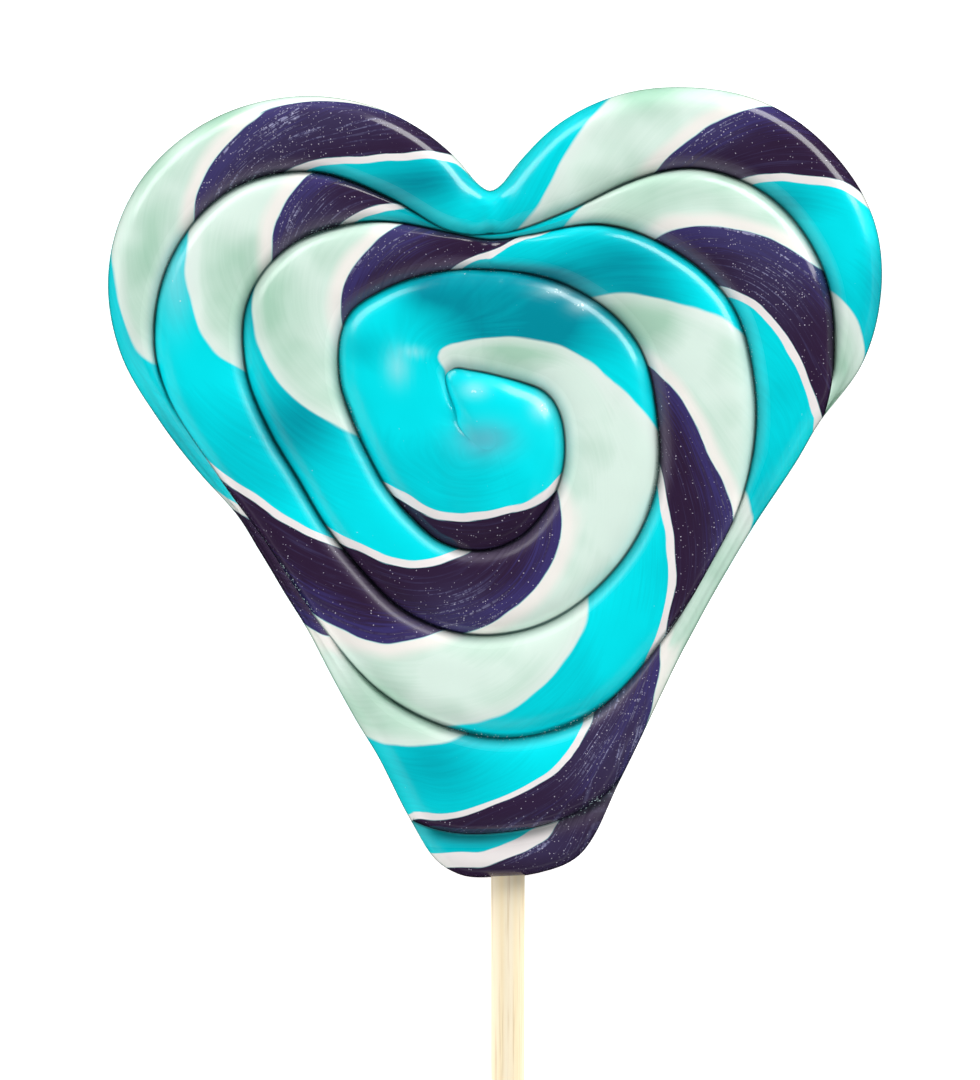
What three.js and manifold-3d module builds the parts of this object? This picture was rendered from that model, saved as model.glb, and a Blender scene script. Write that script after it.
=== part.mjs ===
// A heart-shaped lollipop: one long rope of twisted hard candy, wound into a spiral from a
// small coiled knob, pressed into a heart and set on a round wooden stick.
//
// The heart lies on its back: its shown side faces +Z, its lobes point to +Y and the stick
// runs out along -Y. Sizes are millimetres. Places on the heart are given by the clock about
// the middle of the coil: an angle in degrees, 0 towards +Y and clockwise seen from the front,
// and a distance from the middle. Along the rope the angle isn't wrapped, so one turn further
// out is 360 degrees more.

import * as THREE from 'three';
import { mergeVertices } from 'three/addons/utils/BufferGeometryUtils.js';
import Module from 'manifold-3d';

// ---------------------------------------------------------------- driving dimensions

const THICKNESS = 11;            // from the flats on the back to the crests on the front
const EDGE_REACH = 5.2;          // how far in from the outline the rounded edge begins
const FRONT_GROOVE = 1.9;        // depth of the groove between two turns, front
const BACK_GROOVE = 1.1;         // the same on the back, which was pressed on a flat table
const FULL_WIDTH = 7.5;          // a turn squeezed narrower than this stands lower
const FRONT_POWER = 3;           // a turn's front is a broad crown with steep shoulders
const BACK_POWER = 2;            // its back has a flat middle with rounded shoulders
const BACK_FLAT = 0.5;           // and this part of its width is flat

const KNOB_RISE = 0.9;           // the knob at the start of the rope stands proud
const KNOB_MIDDLE = [1.3, -3.4]; // x, y of the knob's middle
const KNOB_HALF = [7.2, 10.4];   // half its width and half its height

const TAIL_DROP = 1.3;           // the rope's last end lies this much lower than its neighbour
const TAIL_GROOVE = 1.2;         // and the groove beside it is this much deeper again
const BACK_STRIP = 5.0;          // width of the last stretch of rope that shows on the back

const STICK_RADIUS = 2;
const STICK_LENGTH = 150;
const STICK_IN_CANDY = 40;
const STICK_X = 2.1;
const STICK_CHAMFER = 0.4;
const CLEARANCE = 0.3;           // round the stick, in its hole

const STATION_STEP = 4;          // degrees between the cross-sections of the rope
const TURN = 360;

// The seam is the groove between one turn and the next: [clock degrees, millimetres].
// It starts as a crease in the knob and ends where it meets the outline on the right.
const SEAM = [
  [-240, 0], [-200, 1.9], [-110, 2.8], [-80, 3.8], [-58, 4.9], [-47, 6.7], [-40, 8.1], [-32, 8.3],
  [-18, 7.3], [5, 6.4], [35, 6.7], [56, 7.8], [105, 9.1], [127, 10.2], [147, 11.6],
  // the second turn
  [167, 13.3], [183, 14.2], [202, 14.4], [222, 13.8], [240, 13.9], [260, 14.7], [275, 16.3],
  [290, 18.8], [310, 21.3], [322, 20.6], [340, 19.5], [360, 18.7], [390, 19.2], [420, 20], [445, 19.6],
  [470, 20.6], [500, 22],
  // the third turn, the first one pressed into a heart
  [530, 23.8], [545, 24.1], [565, 23.5], [583, 22.3], [600, 22.3], [617, 23.4], [630, 25.9],
  [645, 29.7], [658, 32.1], [672, 31.8], [687, 28.8], [708, 23.6], [720, 22.2], [732, 23.3],
  [750, 27.6], [765, 29.9], [782, 31.8], [800, 31.4], [825, 30.6], [843, 30.3], [860, 31.8],
  // the fourth turn
  [885, 35.8], [898, 36.1], [908, 35.2], [922, 33.4], [938, 30.6], [952, 29.3], [965, 29.5],
  [980, 32.2], [1005, 40.7], [1020, 42.4], [1035, 40.7], [1045, 36.8], [1056, 29.8], [1066, 24.4],
  [1080, 22.9], [1090, 24], [1100, 27.3], [1119, 39.2], [1128, 42.1], [1143, 43.3], [1158, 41.2],
  [1168, 39.1],
];

// The heart's outline, once round from the cleft: right lobe, right side, tip, left side, left lobe.
const OUTLINE = [
  [0, 28.1], [2.5, 28.8], [6, 31.5], [12, 36.4], [20, 41.6], [30, 46.5], [40, 50.2], [51, 51.8],
  [62, 51.3], [72, 48.2], [80, 44.4], [88, 39.1],
  [96, 36.2], [108, 33.3], [120, 32.4], [132, 33.2], [143, 35.6], [152, 39.3], [160, 44.2],
  [168.5, 51.3], [173.5, 52.4], [179, 52.6], [184, 52.4], [187, 51.1], [191.6, 46.7], [198, 41.2],
  [205, 37.5], [214, 34], [221, 32.1], [232, 30.8], [242, 30.6], [252, 31.5], [262, 34.7],
  [272, 39.1], [282, 44.5], [292, 48.4], [304, 50.4], [315, 49.6], [327, 46.4], [338, 41.6],
  [348, 35.6], [353, 32.1], [357.5, 28.8],
];

// The groove beside the rope's last end, where that end comes out again under the tip.
const TAIL = [[1236, 42], [1243, 44.7], [1249, 46.5], [1258, 47.1], [1266, 47.1], [1272, 46.4]];

// On the back, the last stretch of rope starts at the right side and runs down to the tip,
// beside the outermost turn. The seam inside them is drawn in there to make room for both.
const STRIP_START = 1176;
const STRIP_FULL = 1212;
const STRIP_END = 1272;
const BACK_DRAWN_IN = [[800, 0], [825, 3.5], [856, 4.5], [880, 3.5], [910, 0]];

// ---------------------------------------------------------------- curves and small helpers

const clamp01 = (value) => Math.min(Math.max(value, 0), 1);
const radians = THREE.MathUtils.degToRad;
const smooth = (value, from, to) => THREE.MathUtils.smoothstep(value, from, to);

// A smooth curve through uneven knots: each knot's slope is the mean of its two neighbours'.
function curveThrough(knots) {
  const rise = knots.slice(1).map(([at, value], i) => (value - knots[i][1]) / (at - knots[i][0]));
  const slope = knots.map(([at], i) => {
    if (i === 0) return rise[0];
    if (i === knots.length - 1) return rise[i - 1];
    const before = at - knots[i - 1][0];
    const after = knots[i + 1][0] - at;
    return (rise[i - 1] * after + rise[i] * before) / (before + after);
  });
  return (at) => {
    const next = knots.findIndex((knot) => knot[0] >= at);
    const i = next < 0 ? knots.length - 2 : Math.max(next - 1, 0);
    const span = knots[i + 1][0] - knots[i][0];
    const t = clamp01((at - knots[i][0]) / span);
    const early = (1 + 2 * t) * (1 - t) ** 2;
    const late = t * t * (3 - 2 * t);
    const bend = span * t * (1 - t) * (slope[i] * (1 - t) - slope[i + 1] * t);
    return early * knots[i][1] + late * knots[i + 1][1] + bend;
  };
}

const shifted = (knots, by) => knots.map(([at, value]) => [at + by, value]);
const roundOutline = curveThrough([
  ...shifted(OUTLINE.slice(-2), -TURN), ...OUTLINE, ...shifted(OUTLINE.slice(0, 2), TURN),
]);
const seamCurve = curveThrough(SEAM);
const tailCurve = curveThrough(TAIL);

const ROPE_START = SEAM[0][0];
const SEAM_END = SEAM.at(-1)[0];     // here the seam meets the outline
const ROPE_END = SEAM_END + TURN;    // here the outermost turn has run out

const outline = (angle) => roundOutline(((angle % TURN) + TURN) % TURN);
const frontSeam = (angle) => (angle < SEAM_END ? seamCurve(angle) : outline(angle));
const drawnIn = curveThrough(BACK_DRAWN_IN);
const backSeam = (angle) => frontSeam(angle) - drawnIn(angle);
const isInnermost = (angle) => angle - TURN < ROPE_START;
const isOutermost = (angle) => angle >= SEAM_END;
const hasTail = (angle) => angle > TAIL[0][0] && angle < TAIL.at(-1)[0];

// How much the outline slants across a ray: 1 where they cross square.
function slant(angle) {
  const step = 2;
  const change = (outline(angle + step) - outline(angle - step)) / radians(2 * step);
  return 1 / Math.hypot(1, change / outline(angle));
}

// ---------------------------------------------------------------- the candy's surface

// Level of the smooth pressed heart above its middle plane, before any groove: flat, with a
// round edge.
function edgeLevel(angle, radius) {
  const inFromEdge = Math.max(outline(angle) - radius, 0) * slant(angle);
  const t = clamp01(inFromEdge / EDGE_REACH);
  return (THICKNESS / 2) * Math.sqrt(1 - (1 - t) ** 2);
}

// Depth of the seam at a place along it: none at the rope's start, less in the knob's crease,
// and running out where the seam goes over the edge.
function seamDepth(face, angle) {
  if (angle < ROPE_START) return 0;
  const opening = smooth(angle, -190, -70) * (0.6 + 0.4 * smooth(angle, -40, 60));
  const inFromEdge = Math.max(outline(angle) - face.seam(angle), 0) * slant(angle);
  return face.groove * opening * clamp01(inFromEdge / EDGE_REACH);
}

// How far a turn's crown lies under full height, because it was squeezed narrow.
function crownDrop(face, angle) {
  if (isInnermost(angle)) return 0;
  const width = (face.seam(angle) - face.seam(angle - TURN)) * slant(angle);
  return face.groove * (1 - clamp01(width / FULL_WIDTH)) ** 1.5;
}

// How far the surface lies under the smooth heart, across one turn from its inner seam (0) to
// its outer seam (1).
function relief(face, angle, across) {
  const crown = crownDrop(face, angle);
  const side = isInnermost(angle) ? across : 2 * across - 1;
  if (side > 0 && isOutermost(angle)) return crown * (1 - across);
  const groove = seamDepth(face, side < 0 ? angle - TURN : angle);
  const shoulder = clamp01((Math.abs(side) - face.flat) / (1 - face.flat));
  return crown + (groove - crown) * shoulder ** face.power;
}

// The knob is a low oval dome.
function knobRise(x, y) {
  const away = Math.hypot((x - KNOB_MIDDLE[0]) / KNOB_HALF[0], (y - KNOB_MIDDLE[1]) / KNOB_HALF[1]);
  return KNOB_RISE * clamp01(1 - away ** 2);
}

// The front where the rope's last end lies beside the outermost turn: how far each of the two
// lies under the smooth heart.
function tailRelief(face, angle, radius) {
  const groove = tailCurve(angle);
  const inner = face.seam(angle - TURN);
  const opening = clamp01((outline(angle) - groove) * slant(angle) / 3);
  if (radius <= groove) {
    const side = 2 * (radius - inner) / (groove - inner) - 1;
    return opening * (TAIL_DROP + TAIL_GROOVE) * clamp01(side) ** face.power;
  }
  const t = (radius - groove) / (outline(angle) - groove);
  return opening * (TAIL_DROP + TAIL_GROOVE * (1 - t) ** 2) * (1 - t ** 4);
}

// Distance from the middle to the back's extra groove, or 0 where there is none.
function stripGroove(angle) {
  if (angle <= STRIP_START || angle >= STRIP_END) return 0;
  const opening = smooth(angle, STRIP_START, STRIP_FULL) * (1 - smooth(angle, STRIP_END - 16, STRIP_END));
  const halfTurn = (outline(angle) - backSeam(angle - TURN)) / 2;
  return outline(angle) - opening * Math.min(BACK_STRIP / slant(angle), halfTurn);
}

// The two faces of the heart. Each gives the height of a point over the middle plane.
const FRONT = {
  up: 1,
  seam: frontSeam,
  groove: FRONT_GROOVE,
  power: FRONT_POWER,
  flat: 0,
  height(angle, across, radius, x, y) {
    const drop = hasTail(angle) && across > 0.5
      ? tailRelief(this, angle, radius)
      : relief(this, angle, across);
    return edgeLevel(angle, radius) + knobRise(x, y) - drop;
  },
};

const BACK = {
  up: -1,
  seam: backSeam,
  groove: BACK_GROOVE,
  power: BACK_POWER,
  flat: BACK_FLAT,
  height(angle, across, radius) {
    const strip = stripGroove(angle);
    const opening = clamp01((outline(angle) - strip) * slant(angle) / 3);
    const near = clamp01(1 - Math.abs(radius - strip) * slant(angle) / 1.2);
    const stripDepth = strip ? BACK_GROOVE * opening * near : 0;
    return relief(this, angle, across) + stripDepth - edgeLevel(angle, radius);
  },
};

// ---------------------------------------------------------------- the candy's mesh

// Where a cross-section has its points, as parts of the way from the inner to the outer seam.
function crossPoints(face, angle) {
  if (face === BACK && isInnermost(angle)) return [BACK_FLAT, (1 + BACK_FLAT) / 2, 1];
  if (face === BACK && !isOutermost(angle)) return [(1 - BACK_FLAT) / 2, (1 + BACK_FLAT) / 2, 1];
  if (!isOutermost(angle)) return [0.17, 0.5, 0.83, 1];
  const inner = face.seam(angle - TURN);
  const share = (radius) => (radius - inner) / (outline(angle) - inner);
  if (face === FRONT && hasTail(angle)) {
    const groove = share(tailCurve(angle));
    return [0.17 * groove, 0.5 * groove, 0.83 * groove, groove, (groove + 1) / 2, 1];
  }
  const strip = face === BACK && stripGroove(angle);
  if (strip) {
    const groove = share(strip);
    return [0.25 * groove, 0.6 * groove, 0.85 * groove, groove, (groove + 1) / 2, 1];
  }
  return [0.17, 0.5, 0.7, 0.83, 0.94, 1];
}

// Joins two neighbouring cross-sections with triangles, keeping pace along both.
function stitch(first, second, up, triangles) {
  let i = 0;
  let j = 0;
  while (i < first.length - 1 || j < second.length - 1) {
    const stepFirst = j === second.length - 1
      || (i < first.length - 1 && first[i + 1].across <= second[j + 1].across);
    const third = stepFirst ? first[i + 1].index : second[j + 1].index;
    const corners = [first[i].index, second[j].index, third];
    if (stepFirst) i += 1; else j += 1;
    if (new Set(corners).size < 3) continue;
    triangles.push(...(up > 0 ? corners : corners.reverse()));
  }
}

// The whole heart: for each face, cross-sections all along the rope, from the knob's middle
// to the end of the outermost turn. Neighbouring turns share the points of their seam, and
// the two faces share the points of the outline.
function heartGeometry() {
  const positions = [];
  const triangles = [];
  const outlinePoints = new Map();
  const perTurn = TURN / STATION_STEP;
  const count = (ROPE_END - ROPE_START) / STATION_STEP;

  const addPoint = (x, y, z) => positions.push(x, y, z + THICKNESS / 2) / 3 - 1;

  for (const face of [FRONT, BACK]) {
    const middle = addPoint(0, 0, face.height(ROPE_START, 0, 0, 0, 0));
    const seamPoints = [middle];
    let last = null;
    for (let k = 0; k <= count; k += 1) {
      const angle = ROPE_START + k * STATION_STEP;
      const start = k < perTurn ? middle : seamPoints[k - perTurn];
      const section = [{ across: 0, index: start }];
      const inner = k < perTurn ? 0 : face.seam(angle - TURN);
      const places = k === 0 || k === count ? [] : crossPoints(face, angle);
      for (const across of places) {
        const onOutline = across === 1 && isOutermost(angle);
        const radius = inner + (face.seam(angle) - inner) * across;
        const x = radius * Math.sin(radians(angle));
        const y = radius * Math.cos(radians(angle));
        const shared = onOutline ? outlinePoints.get(k) : undefined;
        const index = shared ?? addPoint(x, y, face.height(angle, across, radius, x, y));
        if (onOutline) outlinePoints.set(k, index);
        section.push({ across, index });
      }
      seamPoints[k] = section.at(-1).index;
      if (last) stitch(last, section, face.up, triangles);
      last = section;
    }
  }

  const geometry = new THREE.BufferGeometry();
  geometry.setAttribute('position', new THREE.Float32BufferAttribute(positions, 3));
  geometry.setIndex(triangles);
  return geometry;
}

// ---------------------------------------------------------------- the stick

// A round stick with slightly chamfered ends, its axis along Y, standing from y = 0 upwards.
function stickGeometry(radius, length, chamfer) {
  const profile = [
    [0, 0], [radius - chamfer, 0], [radius, chamfer],
    [radius, length - chamfer], [radius - chamfer, length], [0, length],
  ].map(([x, y]) => new THREE.Vector2(x, y));
  return new THREE.LatheGeometry(profile, 24);
}

// ---------------------------------------------------------------- solids and booleans

const wasm = await Module();
wasm.setup();

function toSolid(geometry) {
  const bare = geometry.clone();
  bare.deleteAttribute('normal');
  bare.deleteAttribute('uv');
  const merged = mergeVertices(bare, 1e-4);
  return new wasm.Manifold(new wasm.Mesh({
    numProp: 3,
    vertProperties: new Float32Array(merged.attributes.position.array),
    triVerts: new Uint32Array(merged.index.array),
  }));
}

function toGeometry(solid) {
  const mesh = solid.getMesh();
  const geometry = new THREE.BufferGeometry();
  geometry.setAttribute('position', new THREE.Float32BufferAttribute(mesh.vertProperties, 3));
  geometry.setIndex([...mesh.triVerts]);
  geometry.computeVertexNormals();
  return geometry;
}

// ---------------------------------------------------------------- the lollipop

const group = new THREE.Group();
group.name = 'heart_lollipop';

const tip = -outline(180);
const stickTop = tip + STICK_IN_CANDY;

// The hole reaches past the stick's top end by the clearance, and well out of the tip.
const holeGeometry = stickGeometry(STICK_RADIUS + CLEARANCE, STICK_LENGTH, STICK_CHAMFER);
holeGeometry.translate(STICK_X, stickTop + CLEARANCE - STICK_LENGTH, THICKNESS / 2);

const candy = new THREE.Mesh(
  toGeometry(toSolid(heartGeometry()).subtract(toSolid(holeGeometry))),
  new THREE.MeshStandardMaterial({ color: 0x12bcc4, roughness: 0.2, metalness: 0 }),
);
candy.name = 'candy_heart';
group.add(candy);

const stick = new THREE.Mesh(
  stickGeometry(STICK_RADIUS, STICK_LENGTH, STICK_CHAMFER),
  new THREE.MeshStandardMaterial({ color: 0xf6e2b8, roughness: 0.6, metalness: 0 }),
);
stick.name = 'stick';
stick.position.set(STICK_X, stickTop - STICK_LENGTH, THICKNESS / 2);
group.add(stick);

// The origin is the middle of the underside of the whole lollipop.
const box = new THREE.Box3().setFromObject(group);
group.position.set(-(box.min.x + box.max.x) / 2, -(box.min.y + box.max.y) / 2, -box.min.z);

export default group;
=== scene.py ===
import math
from collections import namedtuple

import bpy
import numpy as np
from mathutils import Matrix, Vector, noise


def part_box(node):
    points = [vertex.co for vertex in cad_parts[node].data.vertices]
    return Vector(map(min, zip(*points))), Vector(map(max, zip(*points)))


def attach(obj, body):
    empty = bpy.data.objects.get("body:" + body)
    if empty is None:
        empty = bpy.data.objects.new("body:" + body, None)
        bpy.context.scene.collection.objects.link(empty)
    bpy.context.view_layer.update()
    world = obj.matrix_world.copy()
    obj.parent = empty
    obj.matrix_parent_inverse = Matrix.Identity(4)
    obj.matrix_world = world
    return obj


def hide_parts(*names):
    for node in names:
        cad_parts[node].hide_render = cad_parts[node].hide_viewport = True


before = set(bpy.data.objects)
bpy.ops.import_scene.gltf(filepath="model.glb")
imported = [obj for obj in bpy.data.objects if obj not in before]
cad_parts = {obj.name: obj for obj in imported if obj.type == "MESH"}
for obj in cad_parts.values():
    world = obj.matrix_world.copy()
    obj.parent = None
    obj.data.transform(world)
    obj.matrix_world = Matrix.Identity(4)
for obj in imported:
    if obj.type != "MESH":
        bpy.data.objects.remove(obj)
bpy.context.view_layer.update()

# ---------------------------------------------------------------- the candy heart
# One long rope of boiled sugar, laid up from turquoise, indigo, mint and white strips and twisted
# warm. It is coiled outwards from a small knob, clockwise seen from the front, and pressed on a
# flat table, which fuses its turns and fills the heart.

MM = 0.001
TURN = 360

# The coil. A place on the heart is a clock angle about the coil's middle, in degrees, and a distance
# in millimetres. Along the rope the angle isn't wrapped: one turn further out is 360 more.
SEAM = [
    (-240, 0), (-200, 1.9), (-110, 2.8), (-80, 3.8), (-58, 4.9), (-47, 6.7), (-40, 8.1), (-32, 8.3),
    (-18, 7.3), (5, 6.4), (35, 6.7), (56, 7.8), (105, 9.1), (127, 10.2), (147, 11.6),
    # the second turn
    (167, 13.3), (183, 14.2), (202, 14.4), (222, 13.8), (240, 13.9), (260, 14.7), (275, 16.3),
    (290, 18.8), (310, 21.3), (322, 20.6), (340, 19.5), (360, 18.7), (390, 19.2), (420, 20), (445, 19.6),
    (470, 20.6), (500, 22),
    # the third turn, the first one pressed into a heart
    (530, 23.8), (545, 24.1), (565, 23.5), (583, 22.3), (600, 22.3), (617, 23.4), (630, 25.9),
    (645, 29.7), (658, 32.1), (672, 31.8), (687, 28.8), (708, 23.6), (720, 22.2), (732, 23.3),
    (750, 27.6), (765, 29.9), (782, 31.8), (800, 31.4), (825, 30.6), (843, 30.3), (860, 31.8),
    # the fourth turn
    (885, 35.8), (898, 36.1), (908, 35.2), (922, 33.4), (938, 30.6), (952, 29.3), (965, 29.5),
    (980, 32.2), (1005, 40.7), (1020, 42.4), (1035, 40.7), (1045, 36.8), (1056, 29.8), (1066, 24.4),
    (1080, 22.9), (1090, 24), (1100, 27.3), (1119, 39.2), (1128, 42.1), (1143, 43.3), (1158, 41.2),
    (1168, 39.1),
]

# The heart's outline, once round from the cleft: right lobe, right side, tip, left side, left lobe.
OUTLINE = [
    (0, 28.1), (2.5, 28.8), (6, 31.5), (12, 36.4), (20, 41.6), (30, 46.5), (40, 50.2), (51, 51.8),
    (62, 51.3), (72, 48.2), (80, 44.4), (88, 39.1),
    (96, 36.2), (108, 33.3), (120, 32.4), (132, 33.2), (143, 35.6), (152, 39.3), (160, 44.2),
    (168.5, 51.3), (173.5, 52.4), (179, 52.6), (184, 52.4), (187, 51.1), (191.6, 46.7), (198, 41.2),
    (205, 37.5), (214, 34), (221, 32.1), (232, 30.8), (242, 30.6), (252, 31.5), (262, 34.7),
    (272, 39.1), (282, 44.5), (292, 48.4), (304, 50.4), (315, 49.6), (327, 46.4), (338, 41.6),
    (348, 35.6), (353, 32.1), (357.5, 28.8),
]

# The groove beside the rope's last end, which comes out again under the heart's tip.
TAIL = [(1236, 42), (1243, 45), (1249, 46.3), (1258, 47.2), (1267, 47.3), (1272, 46.6)]

# On the back the last stretch of rope runs beside the outermost turn, from the right side to the
# tip, and the seam inside them is drawn in there.
STRIP_STARTS = (1176, 1212)  # over these degrees it gains its width
STRIP_ENDS = (1256, 1272)    # and over these it loses it
STRIP_WIDTH = 5.0
STRIP_FULL_WIDTH = 3         # where it is narrower than this its groove is shallower
STRIP_GROOVE_HALF = 1.2
BACK_DRAWN_IN = [(800, 0), (825, 3.5), (856, 4.5), (880, 3.5), (910, 0)]


def curve_through(knots):
    """A smooth curve through uneven knots: each knot's slope is the mean of its two neighbours'."""
    at, value = np.array(knots, float).T
    gap = np.diff(at)
    rise = np.diff(value) / gap
    inner = (rise[:-1] * gap[1:] + rise[1:] * gap[:-1]) / (gap[:-1] + gap[1:])
    slope = np.concatenate([rise[:1], inner, rise[-1:]])

    def curve(place):
        i = np.clip(np.searchsorted(at, place) - 1, 0, len(gap) - 1)
        t = np.clip((place - at[i]) / gap[i], 0, 1)
        early = (1 + 2 * t) * (1 - t) ** 2
        late = t * t * (3 - 2 * t)
        bend = gap[i] * t * (1 - t) * (slope[i] * (1 - t) - slope[i + 1] * t)
        return early * value[i] + late * value[i + 1] + bend

    return curve


def shifted(knots, by):
    return [(angle + by, radius) for angle, radius in knots]


def smooth(value, start, end):
    t = np.clip((value - start) / (end - start), 0, 1)
    return t * t * (3 - 2 * t)


ROPE_START = SEAM[0][0]
SEAM_END = SEAM[-1][0]       # here the seam meets the outline
ROPE_END = SEAM_END + TURN   # here the outermost turn has run out

round_outline = curve_through(shifted(OUTLINE[-2:], -TURN) + OUTLINE + shifted(OUTLINE[:2], TURN))
seam_curve = curve_through(SEAM)
tail_curve = curve_through(TAIL)
drawn_in = curve_through(BACK_DRAWN_IN)


def outline(angle):
    return round_outline(np.mod(angle, TURN))


def front_seam(angle):
    return np.where(angle < SEAM_END, seam_curve(angle), outline(angle))


def back_seam(angle):
    return front_seam(angle) - drawn_in(angle)


def slant(angle):
    """How much the outline slants across a ray: 1 where they cross square."""
    step = 2
    change = (outline(angle + step) - outline(angle - step)) / math.radians(2 * step)
    return 1 / np.hypot(1, change / outline(angle))


def is_innermost(angle):
    return angle - TURN < ROPE_START


def is_outermost(angle):
    return angle >= SEAM_END


def has_tail(angle):
    return (angle > TAIL[0][0]) & (angle < TAIL[-1][0])


def inner_seam(seam, angle):
    return np.where(is_innermost(angle), 0, seam(angle - TURN))


# The twist. The strips wind across every turn and under it. Outwards along the rope come indigo, a
# thin white line, turquoise, mint and a broader soft white that ends at the next indigo. These rows
# say where the colours cross the rope, in degrees along it, at even steps from the inner seam to the
# outer one.
KNOB_INDIGO_ENDS = 180
FIRST_TURQUOISE_ENDS = (323, 334, 413, 437, 451)
TWISTS = [  # indigo begins, indigo ends, turquoise ends
    ((493, 504, 518, 533, 547), (549, 559.7, 570.4, 581.7, 594), (626, 632.4, 637.4, 645.4, 661)),
    ((665, 673.6, 683.1, 691.6, 697), (705, 711, 717, 723, 730), (758, 765.2, 773.7, 782.2, 790)),
    ((788, 794, 801.5, 809.5, 815.3, 820, 824, 827.3, 831),
     (821, 829, 834.5, 838.8, 842.5, 846.5, 850.5, 856, 861.5),
     (869, 875.1, 885.3, 897.1, 908)),
    ((912, 920, 927, 935, 944),
     (951, 957.5, 964.2, 971.5, 980),
     (1003.3, 1004, 1005.1, 1006.8, 1009.2, 1012.8, 1016.9, 1020.6, 1023.3)),
    ((1027, 1032, 1037, 1042, 1046),
     (1043, 1049.5, 1054, 1056.8, 1058.6),
     (1099.8, 1100.3, 1101, 1101.9, 1103)),
    ((1121, 1124, 1130, 1138, 1145),
     (1138, 1145.7, 1154.5, 1162.7, 1168),
     (1184, 1186, 1187.7, 1189.2, 1192)),
    ((1222, 1223.3, 1224.6, 1227.3, 1233),
     (1239.6, 1241.3, 1245.2, 1253.6, 1260.8, 1265.6, 1268.5, 1270.3, 1271.5),
     (1264, 1272, 1276, 1279, 1282)),
    ((1298, 1299.2, 1300.7, 1302.2, 1304),
     (1328.5, 1329.5, 1330.5, 1331.7, 1333),
     (1361.2, 1361.4, 1361.8, 1362.4, 1363.6, 1365.9, 1369.3, 1373, 1376.5)),
    ((1384.8, 1387, 1389.8, 1392.9, 1396, 1399.4, 1403, 1407.6, 1425),
     (1401.7, 1405.6, 1410, 1415, 1419.3, 1423.5, 1427.1, 1430.3, 1433),
     (1448, 1453, 1455, 1457, 1460)),
    ((1473, 1473.4, 1474, 1474.7, 1475.5, 1476.5, 1477.8, 1479.2, 1481),
     (1485, 1488, 1491, 1494, 1498),
     (1508, 1511, 1514, 1517, 1520)),
]
LAST_INDIGO_BEGINS = (1545, 1548, 1552, 1556, 1560)

# Phase of the twist: a whole number where an indigo begins, and a third more at each next edge.
THIRD = 1 / 3

# Inside the second turn the twist was squeezed flat: an indigo strip with its white line lies
# along the lower edge of the knob, this far from the coil's middle.
KNOB_LINE = [
    (60, 14), (100, 11.6), (131, 10.5), (160, 10.2), (200, 11.4), (220, 12.5), (238, 13.7),
    (260, 17),
]
KNOB_TWIST_MM = 26           # length of rope for one twist there
KNOB_TWIST_ENDS = (215, 300)

# The rope's last end, under the tip, has an indigo strip whose edge runs along this line (x, y).
TAIL_LINE = [
    (-9, -51.6), (-4.8, -51.4), (-0.6, -51), (2, -50.2), (4.8, -48.9), (7.2, -47.3), (8.4, -45.6),
    (12, -38),
]
TAIL_TWIST_MM = 40

EDGES = [(ROPE_START - TURN,) * 5, (KNOB_INDIGO_ENDS,) * 5, FIRST_TURQUOISE_ENDS]
EDGES += [edge for twist in TWISTS for edge in twist]
EDGES += [LAST_INDIGO_BEGINS]


def crossings(across):
    """Where along the rope each edge is, at these places across it."""
    curves = [curve_through(list(zip(np.linspace(0, 1, len(edge)), edge))) for edge in EDGES]
    return np.stack([curve(across) for curve in curves])


def pick(layers, index):
    return np.take_along_axis(layers, index[None], 0)[0]


def twist_phase(angle, across):
    """Phase of the twist on the front, at places along and across the rope. Between its edges it
    rises by a third, on a curve that never turns back. Where an indigo ends it rises as evenly as in
    the turquoise, which keeps the white line's width true."""
    crossing = crossings(across)
    gap = np.diff(crossing, axis=0)
    rise = THIRD / gap
    inner = 2 * rise[:-1] * rise[1:] / (rise[:-1] + rise[1:])
    inner[::3] = np.minimum(rise[1::3], 3 * rise[:-1:3])[: len(inner[::3])]
    slope = np.concatenate([rise[:1], inner, rise[-1:]])
    i = np.clip((crossing <= angle).sum(0) - 1, 0, len(gap) - 1)
    t = np.clip((angle - pick(crossing, i)) / pick(gap, i), 0, 1)
    late = t * t * (3 - 2 * t)
    bend = pick(gap, i) * t * (1 - t) * (pick(slope, i) * (1 - t) - pick(slope, i + 1) * t)
    return (i + late) * THIRD + bend


def phase_beside(line_distance, twist_mm):
    """Phase on the turquoise side of a white line and a little beyond it."""
    most = 0.8 * THIRD
    return THIRD + most * np.tanh(line_distance / twist_mm / most)


def front_phase(angle, across, radius):
    knob = phase_beside(curve_through(KNOB_LINE)(angle) - radius, KNOB_TWIST_MM)
    outside = smooth(angle, *KNOB_TWIST_ENDS)
    return knob + (twist_phase(angle, across) - knob) * outside


def tail_phase(x, y):
    return phase_beside(y - curve_through(TAIL_LINE)(x), TAIL_TWIST_MM)


# The pressing. On the front each turn keeps a broad crown that falls steeply to its outer groove and
# lies lower along its inner one. The back has wide flats.
THICKNESS = 11
EDGE_REACH = 3.3             # how far in from the outline the rounded edge begins
EDGE_POWER = 2.5             # 2 for an ellipse, more for a squarer edge
FRONT_GROOVE = 1.9
BACK_GROOVE = 1.1
FULL_WIDTH = 7.5             # a turn squeezed narrower than this stands lower
BACK_FLAT = 0.5              # this part of a turn's back is flat

OUTER_POWER = 5              # more is a steeper fall to the outer groove
INNER_SHOULDER = ((0.35, 2.5), (0.65, 8))  # share and power of its gentle slope and its last fall
SOFT_POWER = 3               # of both shoulders in the knob's crease
KNOB_BLEND = 60              # degrees over which the first turn gains its inner shoulder

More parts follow.
